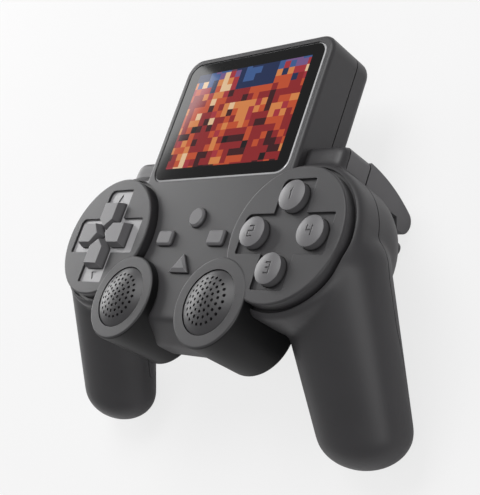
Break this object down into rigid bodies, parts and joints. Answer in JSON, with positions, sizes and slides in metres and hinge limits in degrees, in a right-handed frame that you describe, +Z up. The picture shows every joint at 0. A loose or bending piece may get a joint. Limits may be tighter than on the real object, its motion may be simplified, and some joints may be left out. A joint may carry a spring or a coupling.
{
  "type": "handheld game console",
  "caption": "Two-grip handheld game console with a screen block on top, direction pad, numbered action buttons, domed speaker grilles, shoulder keys and triggers.",
  "frame": {"origin": "on the resting surface, under the middle of the bounding box, with the console lying on its back", "axes": "+X to the player's right, +Y towards the top of the screen, +Z up out of the resting surface; the face leans 5.4 degrees from +Z towards +Y, as the console lies on its grips and triggers"},
  "size_m": [0.1708, 0.1496, 0.059],
  "materials": {
    "case_plastic": "satin charcoal ABS",
    "key_plastic": "satin grey ABS",
    "collar_plastic": "dark satin ABS",
    "window_glass": "clear window with a black border",
    "display": "lit picture",
    "steel": "plain",
    "board_laminate": "green solder mask",
    "chip_resin": "moulded",
    "silicone": "matt grey",
    "contact_brass": "plain",
    "cell_foil": "foil",
    "ribbon_film": "amber film",
    "cone_metal": "satin black",
    "jack_plastic": "black"
  },
  "bodies": {
    "case": {"front_case": "case_plastic", "rear_case": "case_plastic", "screen_window": "window_glass", "screen_panel": "display", "screen_tray": "steel", "screen_ribbon": "ribbon_film", "circuit_board": "board_laminate", "board_screws": "steel", "processor_chip": "chip_resin", "memory_chip": "chip_resin", "crystal": "steel", "capacitors": "cell_foil", "battery": "cell_foil", "battery_contacts": "contact_brass", "audio_jack": "jack_plastic", "charging_socket": "steel", "power_switch": "steel", "pad_membrane": "silicone", "action_membrane": "silicone", "menu_membrane": "silicone", "case_screws": "steel", "speaker_grille_left": "collar_plastic", "speaker_left": "cone_metal", "speaker_ring_left": "case_plastic", "trigger_pin_left": "steel", "shoulder_bracket_left": "case_plastic", "speaker_grille_right": "collar_plastic", "speaker_right": "cone_metal", "speaker_ring_right": "case_plastic", "trigger_pin_right": "steel", "shoulder_bracket_right": "case_plastic"},
    "pad_up_body": {"pad_up": "key_plastic"},
    "pad_left_body": {"pad_left": "key_plastic"},
    "pad_down_body": {"pad_down": "key_plastic"},
    "pad_right_body": {"pad_right": "key_plastic"},
    "button_north_body": {"button_north": "key_plastic"},
    "button_west_body": {"button_west": "key_plastic"},
    "button_south_body": {"button_south": "key_plastic"},
    "button_east_body": {"button_east": "key_plastic"},
    "key_reset_body": {"key_reset": "key_plastic"},
    "key_select_body": {"key_select": "key_plastic"},
    "key_start_body": {"key_start": "key_plastic"},
    "key_volume_body": {"key_volume": "key_plastic"},
    "power_knob_body": {"power_knob": "key_plastic"},
    "battery_cover_body": {"battery_cover": "case_plastic"},
    "shoulder_key_left_body": {"shoulder_key_left": "case_plastic"},
    "shoulder_key_right_body": {"shoulder_key_right": "case_plastic"},
    "trigger_left_body": {"trigger_left": "case_plastic"},
    "trigger_right_body": {"trigger_right": "case_plastic"}
  },
  "joints": [
    {"name": "pad_up_press", "type": "slide", "parent": "case", "child": "pad_up_body", "axis": [0, -0.0944, -0.9955], "range_m": [0, 0.0012], "stiffness_N_per_m": 300, "springref_m": -0.001, "deforming": ["pad_membrane"]},
    {"name": "pad_left_press", "type": "slide", "parent": "case", "child": "pad_left_body", "axis": [0, -0.0944, -0.9955], "range_m": [0, 0.0012], "stiffness_N_per_m": 300, "springref_m": -0.001, "deforming": ["pad_membrane"]},
    {"name": "pad_down_press", "type": "slide", "parent": "case", "child": "pad_down_body", "axis": [0, -0.0944, -0.9955], "range_m": [0, 0.0012], "stiffness_N_per_m": 300, "springref_m": -0.001, "deforming": ["pad_membrane"]},
    {"name": "pad_right_press", "type": "slide", "parent": "case", "child": "pad_right_body", "axis": [0, -0.0944, -0.9955], "range_m": [0, 0.0012], "stiffness_N_per_m": 300, "springref_m": -0.001, "deforming": ["pad_membrane"]},
    {"name": "button_north_press", "type": "slide", "parent": "case", "child": "button_north_body", "axis": [0, -0.0944, -0.9955], "range_m": [0, 0.0012], "stiffness_N_per_m": 300, "springref_m": -0.001, "deforming": ["action_membrane"]},
    {"name": "button_west_press", "type": "slide", "parent": "case", "child": "button_west_body", "axis": [0, -0.0944, -0.9955], "range_m": [0, 0.0012], "stiffness_N_per_m": 300, "springref_m": -0.001, "deforming": ["action_membrane"]},
    {"name": "button_south_press", "type": "slide", "parent": "case", "child": "button_south_body", "axis": [0, -0.0944, -0.9955], "range_m": [0, 0.0012], "stiffness_N_per_m": 300, "springref_m": -0.001, "deforming": ["action_membrane"]},
    {"name": "button_east_press", "type": "slide", "parent": "case", "child": "button_east_body", "axis": [0, -0.0944, -0.9955], "range_m": [0, 0.0012], "stiffness_N_per_m": 300, "springref_m": -0.001, "deforming": ["action_membrane"]},
    {"name": "key_reset_press", "type": "slide", "parent": "case", "child": "key_reset_body", "axis": [0, -0.0944, -0.9955], "range_m": [0, 0.001], "stiffness_N_per_m": 300, "springref_m": -0.001, "deforming": ["menu_membrane"]},
    {"name": "key_select_press", "type": "slide", "parent": "case", "child": "key_select_body", "axis": [0, -0.0944, -0.9955], "range_m": [0, 0.001], "stiffness_N_per_m": 300, "springref_m": -0.001, "deforming": ["menu_membrane"]},
    {"name": "key_start_press", "type": "slide", "parent": "case", "child": "key_start_body", "axis": [0, -0.0944, -0.9955], "range_m": [0, 0.001], "stiffness_N_per_m": 300, "springref_m": -0.001, "deforming": ["menu_membrane"]},
    {"name": "key_volume_press", "type": "slide", "parent": "case", "child": "key_volume_body", "axis": [0, -0.0944, -0.9955], "range_m": [0, 0.001], "stiffness_N_per_m": 300, "springref_m": -0.001, "deforming": ["menu_membrane"]},
    {"name": "shoulder_key_left_press", "type": "slide", "parent": "case", "child": "shoulder_key_left_body", "axis": [0, -0.9955, 0.0944], "range_m": [0, 0.0012], "stiffness_N_per_m": 400, "springref_m": -0.001},
    {"name": "trigger_left_pull", "type": "hinge", "parent": "case", "child": "trigger_left_body", "pos_m": [-0.0497, 0.01974, 0.02468], "axis": [-1, 0, 0], "range_deg": [0, 6], "stiffness_Nm_per_rad": 0.25, "springref_deg": -3.44},
    {"name": "shoulder_key_right_press", "type": "slide", "parent": "case", "child": "shoulder_key_right_body", "axis": [0, -0.9955, 0.0944], "range_m": [0, 0.0012], "stiffness_N_per_m": 400, "springref_m": -0.001},
    {"name": "trigger_right_pull", "type": "hinge", "parent": "case", "child": "trigger_right_body", "pos_m": [0.0497, 0.01974, 0.02468], "axis": [-1, 0, 0], "range_deg": [0, 6], "stiffness_Nm_per_rad": 0.25, "springref_deg": -3.44},
    {"name": "power_slide", "type": "slide", "parent": "case", "child": "power_knob_body", "axis": [1, 0, 0], "range_m": [0, 0.003]},
    {"name": "battery_cover_lift", "type": "slide", "parent": "case", "child": "battery_cover_body", "axis": [0, -0.0944, -0.9955], "range_m": [0, 0.008]}
  ]
}
